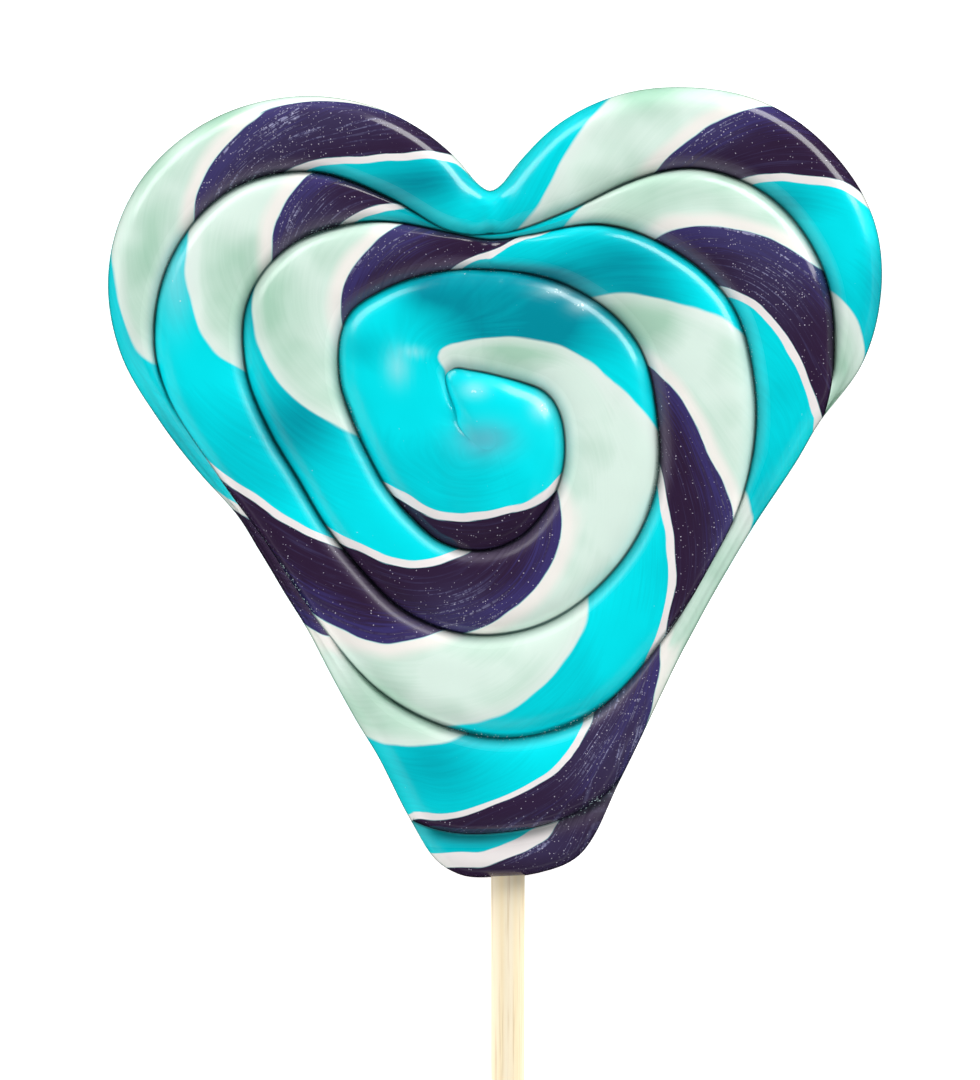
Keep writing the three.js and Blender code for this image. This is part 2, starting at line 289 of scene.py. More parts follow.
# The knob's crease is the first stretch of the seam. Over these degrees along it the crease opens,
# reaches a groove's full depth, and gains a turn's own shoulders.
CREASE_OPENS = (-175, -60)
CREASE_DEEPENS = (-40, 60)
CREASE_HARDENS = (-110, -40)
CREASE_DEPTH = 0.6           # before it deepens, as a share of a groove's

KNOB_RISE = 0.9
KNOB_MIDDLE = (1.3, -3.4)
KNOB_HALF = (7.2, 10.4)

TAIL_DROP = 1.15             # the rope's last end lies this much lower than its neighbour
TAIL_GROOVE = 0.95           # and the groove beside it is this much deeper again
TAIL_FULL_WIDTH = 3          # both are less where the end is narrower than this
TAIL_SIDE_POWER = 7          # more is a steeper fall from the neighbour
TAIL_EDGE_POWER = 4


def edge_distance(x, y):
    """Millimetres from each place to the nearest point of the outline."""
    clock = np.arange(0, TURN, STATION / 2)
    edge_x = outline(clock) * np.sin(np.radians(clock))
    edge_y = outline(clock) * np.cos(np.radians(clock))
    rows = [np.hypot(px[:, None] - edge_x, py[:, None] - edge_y).min(1) for px, py in zip(x, y)]
    return np.array(rows)


def edge_level(edge_mm):
    """Level of the smooth pressed heart over its middle plane, before any groove."""
    t = np.clip(edge_mm / EDGE_REACH, 0, 1)
    return THICKNESS / 2 * (1 - (1 - t) ** EDGE_POWER) ** (1 / EDGE_POWER)


def seam_depth(seam, groove, angle):
    """None at the rope's start, less in the knob's crease, and running out over the edge."""
    deepening = CREASE_DEPTH + (1 - CREASE_DEPTH) * smooth(angle, *CREASE_DEEPENS)
    opening = smooth(angle, *CREASE_OPENS) * deepening
    in_from_edge = (outline(angle) - seam(angle)) * slant(angle)
    depth = groove * opening * np.clip(in_from_edge / EDGE_REACH, 0, 1)
    return np.where(angle < ROPE_START, 0, depth)


def crown_drop(seam, groove, angle):
    """How far a turn's crown lies under full height, because it was squeezed narrow."""
    width = (seam(angle) - inner_seam(seam, angle)) * slant(angle)
    drop = groove * (1 - np.clip(width / FULL_WIDTH, 0, 1)) ** 1.5
    return np.where(is_innermost(angle), 0, drop)


def front_shoulder(side, groove_angle):
    """From the crown (0) to the groove (1): steep on the outer side, gentler on the inner one, and
    soft on both in the knob's crease."""
    away = np.abs(side)
    inner = sum(share * away ** power for share, power in INNER_SHOULDER)
    steep = np.where(side > 0, away ** OUTER_POWER, inner)
    soft = away ** SOFT_POWER
    return soft + (steep - soft) * smooth(groove_angle, *CREASE_HARDENS)


def back_shoulder(side, groove_angle):
    return np.clip((np.abs(side) - BACK_FLAT) / (1 - BACK_FLAT), 0, 1) ** 2


def relief(seam, groove, shoulder, angle, across):
    """How far the surface lies under the smooth heart. Towards the outline, which has no groove, the
    outermost turn only loses its crown's drop."""
    crown = crown_drop(seam, groove, angle)
    side = across - (1 - across) * smooth(angle, ROPE_START + TURN, ROPE_START + TURN + KNOB_BLEND)
    groove_angle = np.where(side < 0, angle - TURN, angle)
    drop = crown + (seam_depth(seam, groove, groove_angle) - crown) * shoulder(side, groove_angle)
    return np.where((side > 0) & is_outermost(angle), crown * 2 * (1 - across), drop)


def knob_rise(x, y):
    away = np.hypot((x - KNOB_MIDDLE[0]) / KNOB_HALF[0], (y - KNOB_MIDDLE[1]) / KNOB_HALF[1])
    return KNOB_RISE * np.clip(1 - away ** 2, 0, 1)


def tail_relief(angle, radius):
    """The same where the rope's last end lies beside the outermost turn."""
    groove = tail_curve(angle)
    inner = front_seam(angle - TURN)
    opening = np.clip((outline(angle) - groove) * slant(angle) / TAIL_FULL_WIDTH, 0, 1)
    side = np.clip(2 * (radius - inner) / (groove - inner) - 1, 0, 1)
    t = np.clip((radius - groove) / (outline(angle) - groove), 0, 1)
    turn = (TAIL_DROP + TAIL_GROOVE) * side ** TAIL_SIDE_POWER
    tail = (TAIL_DROP + TAIL_GROOVE * (1 - t) ** 2) * (1 - t ** TAIL_EDGE_POWER)
    return opening * np.where(radius <= groove, turn, tail)


def front_height(angle, across, radius, x, y, edge_mm):
    drop = relief(front_seam, FRONT_GROOVE, front_shoulder, angle, across)
    drop = np.where(has_tail(angle) & (across > 0.5), tail_relief(angle, radius), drop)
    return edge_level(edge_mm) + knob_rise(x, y) - drop


def back_height(angle, across, radius, x, y, edge_mm):
    opening = smooth(angle, *STRIP_STARTS) * (1 - smooth(angle, *STRIP_ENDS))
    half_turn = (outline(angle) - back_seam(angle - TURN)) / 2
    groove = outline(angle) - opening * np.minimum(STRIP_WIDTH / slant(angle), half_turn)
    strip = np.clip((outline(angle) - groove) * slant(angle) / STRIP_FULL_WIDTH, 0, 1)
    near = np.clip(1 - np.abs(radius - groove) * slant(angle) / STRIP_GROOVE_HALF, 0, 1)
    drop = relief(back_seam, BACK_GROOVE, back_shoulder, angle, across)
    return drop + BACK_GROOVE * strip * near - edge_level(edge_mm)


# The mesh. Cross-sections follow the rope from its first end to its last, on the front and on the
# back, with places that crowd towards the grooves.
STATION = 0.8                # degrees between cross-sections
FRONT_STRIPS = 28            # strips across a turn
TAIL_STRIPS = 9              # of them on the rope's last end, where that lies beside a turn
TAIL_FROM = FRONT_STRIPS - TAIL_STRIPS
TAIL_BLEND = 12              # degrees over which the strips shift to its groove
BACK_STRIPS = 12
FRONT_CROWDING = 0.75
TAIL_CROWDING = 0.5
BACK_CROWDING = 0.6

Face = namedtuple("Face", "x y z radius edge_mm")


def crowded(count, share):
    """Places from 0 to 1, closer together near both ends."""
    t = np.linspace(0, 1, count + 1)
    return t - share * np.sin(2 * np.pi * t) / (2 * np.pi)


def places_across_front(angle):
    """Places across each cross-section. Where the tail lies, one strip ends at its groove."""
    plain = crowded(FRONT_STRIPS, FRONT_CROWDING)
    inner = front_seam(angle - TURN)
    groove = np.clip((tail_curve(angle) - inner) / (outline(angle) - inner), 0.5, 0.98)
    before = crowded(TAIL_FROM, FRONT_CROWDING) * groove
    after = groove + (1 - groove) * crowded(TAIL_STRIPS, TAIL_CROWDING)[1:]
    begun = smooth(angle, TAIL[0][0] - TAIL_BLEND, TAIL[0][0])
    near = begun * (1 - smooth(angle, TAIL[-1][0], TAIL[-1][0] + TAIL_BLEND))
    return plain + (np.hstack([before, after]) - plain) * near


def face_grid(seam, height, across, angle):
    """All places of one face, in millimetres from the coil's middle."""
    inner = inner_seam(seam, angle)
    radius = inner + (seam(angle) - inner) * across
    x = radius * np.sin(np.radians(angle))
    y = radius * np.cos(np.radians(angle))
    edge_mm = edge_distance(x, y)
    return Face(x, y, height(angle, across, radius, x, y, edge_mm), radius, edge_mm)


stations = round((ROPE_END - ROPE_START) / STATION) + 1
per_turn = round(TURN / STATION)
angle = (ROPE_START + STATION * np.arange(stations))[:, None]

front_across = places_across_front(angle)
back_across = np.tile(crowded(BACK_STRIPS, BACK_CROWDING), (stations, 1))
front = face_grid(front_seam, front_height, front_across, angle)
back = face_grid(back_seam, back_height, back_across, angle)
front_count = front_across.size
back_count = back_across.size


def number_places(strips, first_number, outline_numbers):
    """Gives each place of a face its vertex number. A turn's inner seam is the outer seam of the
    turn inside it; all of the first cross-section is the coil's middle."""
    number = np.zeros((stations, strips + 1), int)
    number[1:-1, 1:] = first_number + 1 + np.arange((stations - 2) * strips).reshape(-1, strips)
    number[0] = first_number
    if outline_numbers is not None:
        outermost = is_outermost(angle[:, 0])
        number[outermost, -1] = outline_numbers[outermost]
    number[-1] = number[-1 - per_turn, -1]
    number[per_turn:, 0] = number[: stations - per_turn, -1]
    number[:per_turn, 0] = first_number
    return number


def stitch_faces(number, first_place, upwards, is_tail):
    """Faces between neighbouring cross-sections, each with the grid places of its corners. The
    last end's colours have a grid of their own, after the others."""
    faces, places = [], []
    width = number.shape[1]
    for k in range(stations - 1):
        for j in range(width - 1):
            ring = [(k, j), (k + 1, j), (k + 1, j + 1), (k, j + 1)]
            first = front_count + back_count if is_tail[k] and j >= TAIL_FROM else first_place
            corners = {}
            for at in ring if upwards else reversed(ring):
                corners.setdefault(int(number[at]), first + at[0] * width + at[1])
            if len(corners) > 2:
                faces.append(list(corners))
                places.extend(corners.values())
    return faces, places


# Pressing left the front a little uneven.
UNEVEN = 0.07                # millimetres up and down
UNEVEN_LENGTH = 3.5          # about as wide as one low spot

waves = [
    noise.noise(Vector((px, py, 0)) / UNEVEN_LENGTH) for px, py in zip(front.x.flat, front.y.flat)
]
front_level = front.z + UNEVEN * np.reshape(waves, front.x.shape)

front_number = number_places(FRONT_STRIPS, 0, None)
back_number = number_places(BACK_STRIPS, (stations - 2) * FRONT_STRIPS + 1, front_number[:, -1])
in_tail = has_tail(angle[:-1, 0]) & has_tail(angle[1:, 0])
front_faces, front_corners = stitch_faces(front_number, 0, True, in_tail)
back_faces, back_corners = stitch_faces(back_number, front_count, False, 0 * in_tail)

# The coil's middle stands in the frame beside the stick, whose axis passes it on the right.
STICK_X = 2.1
STICK_IN_CANDY = 40
stick_low, stick_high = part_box("stick")
coil_middle = np.array([
    (stick_low.x + stick_high.x) / 2 - STICK_X * MM,
    stick_high.y - (STICK_IN_CANDY - float(outline(180))) * MM,
    (stick_low.z + stick_high.z) / 2,
])

points = np.zeros((back_number.max() + 1, 3))
points[back_number] = np.stack([back.x, back.y, back.z], -1)
points[front_number] = np.stack([front.x, front.y, front_level], -1)
all_faces = front_faces + back_faces
used, renumbered = np.unique(np.concatenate([np.ravel(f) for f in all_faces]), return_inverse=True)
ends = np.cumsum([len(face) for face in all_faces])
faces = [part.tolist() for part in np.split(renumbered, ends[:-1])]

heart_mesh = bpy.data.meshes.new("pressed_heart")
heart_mesh.from_pydata((points[used] * MM + coil_middle).tolist(), [], faces)
heart_mesh.polygons.foreach_set("use_smooth", [True] * len(faces))

# Each corner of a face carries where it is in the twist, along and across the rope, and how deep and
# how marked the sugar is there, with the amounts of painted shade and painted highlight.
WHITE_LINE = 0.95            # width of the white line after an indigo, in millimetres
WHITE_LINE_TURN = 4.0        # in an inner turn narrower than this it is narrower too
THINNEST_LINE = 0.15         # but no narrower than this share
TAIL_WHITE_LINE = 1.8
TAIL_ROPE_WIDTH = 12         # the last end's whole width, most of it under its neighbour
TWIST_MM = (22, 90)          # the shortest and the longest twist

# In these places the white line is thinner by this share (x, y, half sizes, share).
THIN_LINE_PLACES = [(-9, -43, 5, 2.5, 0.5)]

# The groove's painted shade hardly shows where the outermost turn was squeezed to a sliver beside it.
SLIVER_WIDTH = 5.0
SLIVER_EASE = 1.8            # millimetres that the groove seems further away

# Nor does the knob's crease get the groove's sharp painted shade, until this softness ends over these
# degrees.
SOFT_CREASE_ENDS = (-80, -25)
CREASE_EASE = 2              # millimetres again

# Turquoise looks darker and mint greener in these places (x, y, half sizes, amount): in part where
# the sugar is thicker and clearer, in part as painted shade. The one with a negative amount takes
# that darkness away beside it, as painted light.
DEEP_AND_SHADED_PLACES = [
    (2.9, 13.5, 8.5, 3.6, 1.3), (-6, 16.3, 5, 2.2, 0.9), (2, 18, 8, 1.5, 0.7),
    (19, 39.3, 7, 2.2, 0.8), (-14.4, 9.4, 3, 2.2, 0.4), (15.5, 19.4, 7.5, 4.2, 0.95),
    (35, 26.7, 5, 2.4, 0.6), (45.4, 16, 1.8, 7, 0.6), (-6.8, -39, 6, 5, 0.65),
    (-7.6, 28.8, 6, 2.8, 0.9), (-22, 1.4, 4.5, 6, 0.7), (-38.2, 0.6, 4, 7, 0.3),
    (-29.4, -2.4, 5, 6, 0.3), (34.7, 3.5, 4, 10, 0.3), (-2.4, -48.5, 6, 2, 0.4),
    (-38.8, 19.8, 3.2, 7, 0.9), (-31.2, 18, 3.6, 6, 0.8), (-23.8, 14, 4.6, 6.5, 0.8),
    (23, 28, 7, 3, 0.7), (18.6, 13.2, 4.5, 3.5, 0.9), (4, 9.6, 8, 2.6, 0.6),
    (-13, -30.6, 4, 5, 0.7), (41.4, 7.6, 2.6, 6, 0.8), (25, -20, 3, 8, 0.6),
    (-31.5, 36.5, 4, 3, 0.6), (-41, 31, 3, 4, 0.5), (-36.6, 16, 2.2, 7, -1.5),
]

# The rope's first end shows as a dull smear in the knob, which is also painted shade beside the knob's
# crease (x, y, half sizes).
KNOB_SMEAR_AND_SHADE = (-0.6, -1.2, 3.0, 1.9)

# Fine sugar lies as a thin pale film on the turquoise in these places, which is also a painted
# highlight.
FROST_AND_GLINT_PLACES = [
    (7.8, 16.1, 2.2, 0.7, 1), (10.8, 14.5, 1.5, 0.9, 1), (-10.8, 7.3, 1.1, 1.8, 0.9),
    (-9, 9, 1.2, 0.5, 0.9), (-1.8, 4.6, 1.4, 0.9, 0.9), (6, 2.6, 1.1, 1.3, 1),
    (-36.6, 17.5, 1.6, 4.5, 0.6),
]

# The indigo is worn and full of fine bubbles in these places.
WORN_PLACES = [
    (33, 19, 5, 7, 1), (30, 24, 6, 3, 1), (14, -38, 8, 6, 1), (6, -48.5, 6, 3, 1),
    (-27, 33, 6, 4, 1), (-30, 28, 4, 4, 1), (-21, 24, 4, 4, 1), (-18, 36.5, 8, 3, 1),
    (-4, -21, 5, 3, 1), (28, -16, 3, 6, 0.8), (12, -31, 6, 3, 0.8), (25, 35, 5, 2.5, 1),
    (-14, 22, 5, 3, 1),
]

# Bubbles burst in the grooves in these places, and the grooves' painted shade is broader there.
BUBBLY_PLACES = [
    (-25, 28, 7, 4, 1), (-19, 23, 4, 3, 1), (-15.5, 3.5, 2.5, 6, 0.9), (-1, -35, 7, 2, 1),
    (11, -34, 6, 2.5, 1), (22, -25, 5, 5, 1), (-22.5, -18, 4, 6, 0.9), (13, -44.5, 3.5, 2.5, 1),
    (-38, 21, 1.5, 4, 0.4), (30, 8, 3, 7, 0.7), (19, -6, 2, 7, 0.8), (-1, 18, 9, 1, 0.5),
    (-34, -12, 4, 8, 1),
]

middle_radius = (front_seam(angle) + inner_seam(front_seam, angle)) / 2
along = np.cumsum(middle_radius * math.radians(STATION))[:, None]


def bell(x, y, middle_x, middle_y, half_x, half_y):
    return np.exp(-((x - middle_x) / half_x) ** 2 - ((y - middle_y) / half_y) ** 2)


def amount_at(face, places):
    amounts = [amount * bell(face.x, face.y, *place) for *place, amount in places]
    return np.clip(sum(amounts), 0, 1)


def mm_per_unit(values, face):
    """How many millimetres of surface go with one unit of a value given on a face's grid."""
    value_k, value_j = np.gradient(values)
    x_k, x_j = np.gradient(face.x)
    y_k, y_j = np.gradient(face.y)
    area = x_k * y_j - x_j * y_k
    area = np.where(np.abs(area) < 1e-5, 1e-5, area)
    rise = np.hypot(value_k * y_j - value_j * y_k, value_j * x_k - value_k * x_j) / np.abs(area)
    return 1 / np.maximum(rise, 1e-3)


def seam_distance(across, face):
    """Millimetres to the nearest seam. The outline isn't a seam."""
    to_inner = np.where(is_innermost(angle), 1, across)
    to_outer = np.where(is_outermost(angle), 1, 1 - across)
    groove_angle = np.where(to_inner < to_outer, angle - TURN, angle)
    in_crease = 1 - smooth(groove_angle, *SOFT_CREASE_ENDS)
    return np.minimum(to_inner, to_outer) * mm_per_unit(across, face) + CREASE_EASE * in_crease


def in_rows(*values):
    return np.stack(values, -1).reshape(-1, len(values))


def twist_values(phase, face, white_line):
    return in_rows(phase, np.clip(mm_per_unit(phase, face), *TWIST_MM), white_line + 0 * phase)


def rope_values(across, seam_mm):
    return in_rows(along + 0 * across, across, seam_mm)


def depth_and_shade_values(face):
    return in_rows(amount_at(face, DEEP_AND_SHADED_PLACES), face.edge_mm, bell(face.x, face.y, *KNOB_SMEAR_AND_SHADE))


def mark_values(face):
    places = (BUBBLY_PLACES, FROST_AND_GLINT_PLACES, WORN_PLACES)
    return in_rows(*[amount_at(face, listed) for listed in places])


phase = front_phase(angle, front_across, front.radius)
turn_width = (front_seam(angle) - inner_seam(front_seam, angle)) * slant(angle)
squeezed = np.clip(turn_width / WHITE_LINE_TURN, THINNEST_LINE, 1)
line_share = np.where(is_outermost(angle), 1, squeezed) * (1 - amount_at(front, THIN_LINE_PLACES))
beside_tail = np.abs(front.radius - tail_curve(angle)) * slant(angle)
seam_mm = seam_distance(front_across, front)
seam_mm = np.where(has_tail(angle), np.minimum(seam_mm, beside_tail), seam_mm)
is_sliver = is_outermost(angle) & ~has_tail(angle)
seam_mm = seam_mm + SLIVER_EASE * np.where(is_sliver, np.clip(1 - turn_width / SLIVER_WIDTH, 0, 1), 0)
front_twist = twist_values(phase, front, WHITE_LINE * line_share)
front_rope = rope_values(front_across, seam_mm)
front_depth_and_shade = depth_and_shade_values(front)
front_marks = mark_values(front)

tail_twist = twist_values(tail_phase(front.x, front.y), front, TAIL_WHITE_LINE)
tail_rope = rope_values(np.clip(beside_tail / TAIL_ROPE_WIDTH, 0, 0.5), beside_tail)

# Under the rope each colour runs on from the outer seam to where it comes up at the inner one.
outer_phase = phase[:, -1:]
inner_phase = phase[:, :1] - 1
back_phase = inner_phase + (outer_phase - inner_phase) * back_across
back_twist = twist_values(back_phase, back, WHITE_LINE)
back_rope = rope_values(back_across, seam_distance(back_across, back))
back_depth_and_shade = depth_and_shade_values(back)
back_marks = mark_values(back)

corner_places = np.array(front_corners + back_corners)
for name, parts in (
    ("twist", (front_twist, back_twist, tail_twist)),
    ("rope", (front_rope, back_rope, tail_rope)),
    ("depth", (front_depth_and_shade, back_depth_and_shade, front_depth_and_shade)),
    ("marks", (front_marks, back_marks, front_marks)),
):
    values = np.concatenate(parts)[corner_places]
    attribute = heart_mesh.attributes.new(name, "FLOAT_VECTOR", "CORNER")
    attribute.data.foreach_set("vector", values.ravel())

# The sugar. Pulling gives it its satin fibres, which run along each stripe, and its tiny bubbles.
# Turquoise and indigo are clear like glass, with depth. Mint and white are milky with air. Sugar
# dust and burst bubbles stay in the grooves. Shade is painted into the grooves, along the rounded
# edge, in the knob's crease and in some darker places; a sheen on the indigo and some highlights
# and glints are painted too.
TURQUOISE_BRIGHT = (0.0, 0.78, 0.86, 1)
# The dark turquoise serves both for thick sugar and for painted shade.
TURQUOISE_DARK = (0.0, 0.27, 0.35, 1)
INDIGO_DARK = (0.030, 0.014, 0.042, 1)
INDIGO_BLUE = (0.050, 0.040, 0.17, 1)
# A painted grey-violet sheen, beside the inner groove.
INDIGO_SHEEN = (0.10, 0.075, 0.13, 1)
INDIGO_WORN = (0.066, 0.060, 0.155, 1)
MINT_GREEN = (0.41, 0.66, 0.51, 1)
MINT_PALE = (0.74, 0.905, 0.81, 1)
CREAM_WHITE = (0.93, 0.905, 0.85, 1)
LINE_WHITE = (0.90, 0.85, 0.84, 1)
MILK_WHITE = (0.84, 0.90, 0.86, 1)
DUST_WHITE = (0.62, 0.58, 0.72, 1)
TORN_BLUE = (0.42, 0.42, 0.66, 1)
# Painted shade, in the grooves.
GROOVE_SHADE_TINT = (0.06, 0.15, 0.15, 1)
# Painted shade, at the rounded edge.
RIM_SHADE_TINT = (0.40, 0.54, 0.46, 1)
CRUMB_DARK = (0.01, 0.04, 0.06, 1)
# Painted glints among the crumbs.
CRUMB_GLINT = (0.62, 0.80, 0.82, 1)
# A pale film of fine sugar, and a painted highlight.
FROST_AND_GLINT_WHITE = (0.72, 0.93, 0.94, 1)
# The rope's first end, and painted shade beside the knob's crease.
KNOB_SMEAR_AND_SHADE_COLOUR = (0.20, 0.20, 0.34, 1)

# Each of these fades or begins over such a range, in millimetres from a stripe's edge, from the seam
# or from the outline.
EDGE_BLUR = (-0.07, 0.07)
MINT_EDGE_BLUR = (-0.2, 0.2)
MILKY_START = (0.0, 2.2)
CREAM_END = (0.7, 2.4)
BLUE_START = (-0.2, 3.6)
BUBBLES_START = (0.0, 3.0)
SHEEN_SIDE = (0.4, 2.2)
GROOVE_LINE = (0.06, 0.3)
GROOVE_SHADE = (0.1, 1.4)
GROOVE_FOAM_SHADE = (0.2, 0.7)
GROOVE_CRUMBS = (0.15, 0.5)
ROUGH_SIDE = (0.5, 1.9)
RIM_LINE = (0.1, 0.4)
RIM_SHADE = (0.3, 1.8)

FIBRES_PER_TWIST = 80
FIBRE_STRETCH = 0.12         # along the rope
BUBBLES_PER_MM = 3.6
FIBRE_HEIGHT = 0.012         # millimetres
DIMPLE_HEIGHT = 0.03


def node(tree, kind, inputs=None, **settings):
    """Adds one shader node. An input is a value, or the socket it comes from."""
    made = tree.nodes.new("ShaderNode" + kind)
    for name, value in settings.items():
        setattr(made, name, value)
    for name, value in (inputs or {}).items():
        if isinstance(value, bpy.types.NodeSocket):
            tree.links.new(value, made.inputs[name])
        else:
            made.inputs[name].default_value = value
    return made


def calculate(tree, operation, *values):
    return node(tree, "Math", dict(enumerate(values)), operation=operation).outputs[0]


def add(tree, first, second):
    return calculate(tree, "ADD", first, second)


def subtract(tree, first, second):
    return calculate(tree, "SUBTRACT", first, second)


def times(tree, first, second):
    return calculate(tree, "MULTIPLY", first, second)


def between(tree, value, start, end, low=0.0, high=1.0):
    """Goes smoothly from low to high while the value goes from start to end."""
    limits = {"Value": value, "From Min": start, "From Max": end, "To Min": low, "To Max": high}
    return node(tree, "MapRange", limits, interpolation_type="SMOOTHSTEP").outputs["Result"]


def blend(tree, share, first, second):
    return node(tree, "Mix", {0: share, 6: first, 7: second}, data_type="RGBA").outputs[2]


def tinted(tree, share, colour, tint):
    inputs = {0: share, 6: colour, 7: tint}
    return node(tree, "Mix", inputs, data_type="RGBA", blend_type="MULTIPLY").outputs[2]


def grain(tree, place, size_mm, detail=2.0, roughness=0.5):
    """Noise from 0 to 1 with features of about this size, on a place in millimetres."""
    settings = {"Vector": place, "Scale": 0.5 / size_mm, "Detail": detail, "Roughness": roughness}
    return node(tree, "TexNoise", settings).outputs["Fac"]


def read_values(tree, name):
    values = node(tree, "Attribute", attribute_name=name).outputs["Vector"]
    return node(tree, "SeparateXYZ", {0: values}).outputs


def at(tree, x, y):
    return node(tree, "CombineXYZ", {0: x, 1: y, 2: 0.0}).outputs[0]


def inside_stripe(tree, phase, mm_per_twist, shift):
    """Millimetres to the nearer edge of a stripe, negative outside it."""
    off_middle = subtract(tree, calculate(tree, "FRACT", add(tree, phase, shift)), 0.5)
    share = subtract(tree, THIRD / 2, calculate(tree, "ABSOLUTE", off_middle))
    return times(tree, share, mm_per_twist)


def turquoise_colour(tree, depth_and_shade, along_rope, across, fibres):
    """Bright, and darker where the sugar is deep and where shade is painted, with fine streaks."""
    clouds = grain(tree, at(tree, along_rope, times(tree, across, 4.0)), 9.0, 1.0)
    depth_and_shade = add(tree, depth_and_shade, between(tree, clouds, 0.38, 0.62, -0.1, 0.22))
    depth_and_shade = add(tree, depth_and_shade, between(tree, fibres, 0.3, 0.7, -0.05, 0.07))
    return blend(tree, depth_and_shade, TURQUOISE_BRIGHT, TURQUOISE_DARK)


def mint_colour(tree, depth_and_shade, after_start, before_end, place, fibres):
    """Milky, greener where it is deep and where shade is painted, whiter at its start and cream before
    the next indigo.
    """
    clouds = grain(tree, place, 5.0, 2.0)
    green = add(tree, depth_and_shade, between(tree, clouds, 0.36, 0.64, -0.2, 0.35))
    green = add(tree, green, between(tree, fibres, 0.3, 0.7, -0.06, 0.06))
    colour = blend(tree, green, MINT_PALE, MINT_GREEN)
    colour = blend(tree, between(tree, after_start, *MILKY_START, 0.55, 0.0), colour, MILK_WHITE)
    return blend(tree, between(tree, before_end, *CREAM_END, 1.0, 0.0), colour, CREAM_WHITE)


def indigo_colour(tree, worn, after_start, across, seam_mm, fibres, bubbles):
    """Nearly black, blue with torn fibres along its first edge, with a painted grey-violet sheen beside
    the inner groove, and small round bubbles."""
    distance, chance, kind = bubbles
    reach = add(tree, after_start, between(tree, fibres, 0.3, 0.7, -1.6, 1.6))
    colour = blend(tree, between(tree, reach, *BLUE_START, 0.85, 0.0), INDIGO_DARK, INDIGO_BLUE)
    streaks = add(tree, times(tree, worn, 0.4), between(tree, fibres, 0.5, 0.72, 0.0, 0.4))
    colour = blend(tree, streaks, colour, INDIGO_WORN)
    # The painted sheen lies on the inner half, beside the groove.
    inner_half = between(tree, across, 0.5, 0.3)
    dull = times(tree, between(tree, seam_mm, *SHEEN_SIDE, 0.8, 0.0), inner_half)
    dull = times(tree, dull, between(tree, fibres, 0.25, 0.6, 0.4, 1.0))
    colour = blend(tree, dull, colour, INDIGO_SHEEN)
    crowd = add(tree, worn, between(tree, after_start, *BUBBLES_START, 0.4, 0.0))
    torn = times(tree, between(tree, fibres, 0.55, 0.64), times(tree, crowd, crowd))
    torn = times(tree, torn, between(tree, kind, 0.3, 0.7, 0.0, 0.5))
    colour = blend(tree, torn, colour, TORN_BLUE)
    smallest = between(tree, crowd, 0.0, 1.0, 0.7, 0.2)
    size = between(tree, chance, smallest, 1.0, 0.02, 0.26)
    speck = calculate(tree, "LESS_THAN", distance, size)
    brightness = between(tree, kind, 0.0, 1.0, 0.2, 0.85)
    return blend(tree, times(tree, speck, brightness), colour, DUST_WHITE)


def with_white_line(tree, colour, after_indigo, white_line):
    half = times(tree, white_line, 0.5)
    off_middle = calculate(tree, "ABSOLUTE", subtract(tree, after_indigo, half))
    inside = subtract(tree, half, off_middle)
    return blend(tree, between(tree, inside, *EDGE_BLUR), colour, LINE_WHITE)


def with_sugar_and_glints(tree, colour, frost_and_glint, place):
    """A thin film where the frost is, which is also a painted highlight, and fine grains, more of them
    there.
    """
    colour = blend(tree, times(tree, frost_and_glint, 0.3), colour, FROST_AND_GLINT_WHITE)
    grains = add(tree, grain(tree, place, 0.24, 2.0), times(tree, times(tree, frost_and_glint, frost_and_glint), 0.26))
    return blend(tree, between(tree, grains, 0.76, 0.84, 0.0, 0.6), colour, FROST_AND_GLINT_WHITE)


def with_groove_shade(tree, colour, seam_mm, beyond, bubbly, in_indigo):
    """Painted shade in the groove: a dark line, broader where the groove is full of foam, with a softer
    painted shade on the turn outside it."""
    shade = times(tree, between(tree, seam_mm, *GROOVE_SHADE, 0.45, 0.0), beyond)
    shade = times(tree, shade, between(tree, in_indigo, -0.1, 0.1, 1.0, 0.2))
    line = between(tree, seam_mm, *GROOVE_LINE, 0.84, 0.0)
    dark = calculate(tree, "MAXIMUM", line, shade)
    foam_shade = times(tree, between(tree, seam_mm, *GROOVE_FOAM_SHADE, 0.85, 0.0), bubbly)
    dark = calculate(tree, "MAXIMUM", dark, foam_shade)
    return tinted(tree, dark, colour, GROOVE_SHADE_TINT)


def with_rim_shade(tree, colour, edge_mm):
    """The rounded edge is darker too, with painted shade."""
    line = between(tree, edge_mm, *RIM_LINE, 0.7, 0.0)
    shade = between(tree, edge_mm, *RIM_SHADE, 0.3, 0.0)
    return tinted(tree, add(tree, line, shade), colour, RIM_SHADE_TINT)


def with_crumbs_and_glints(tree, colour, seam_mm, bubbly, fibres, bubbles):
    """Burst bubbles lie in some grooves as dark specks, and the bright specks among them are painted
    glints.
    """
    distance, _, kind = bubbles
    crumb = times(tree, between(tree, seam_mm, *GROOVE_CRUMBS, 1.0, 0.0), bubbly)
    crumb = times(tree, crumb, between(tree, fibres, 0.42, 0.52))
    crumb = times(tree, crumb, between(tree, distance, 0.2, 0.45, 0.85, 0.0))
    crumb_colour = blend(tree, between(tree, kind, 0.55, 0.57), CRUMB_DARK, CRUMB_GLINT)
    return blend(tree, crumb, colour, crumb_colour)


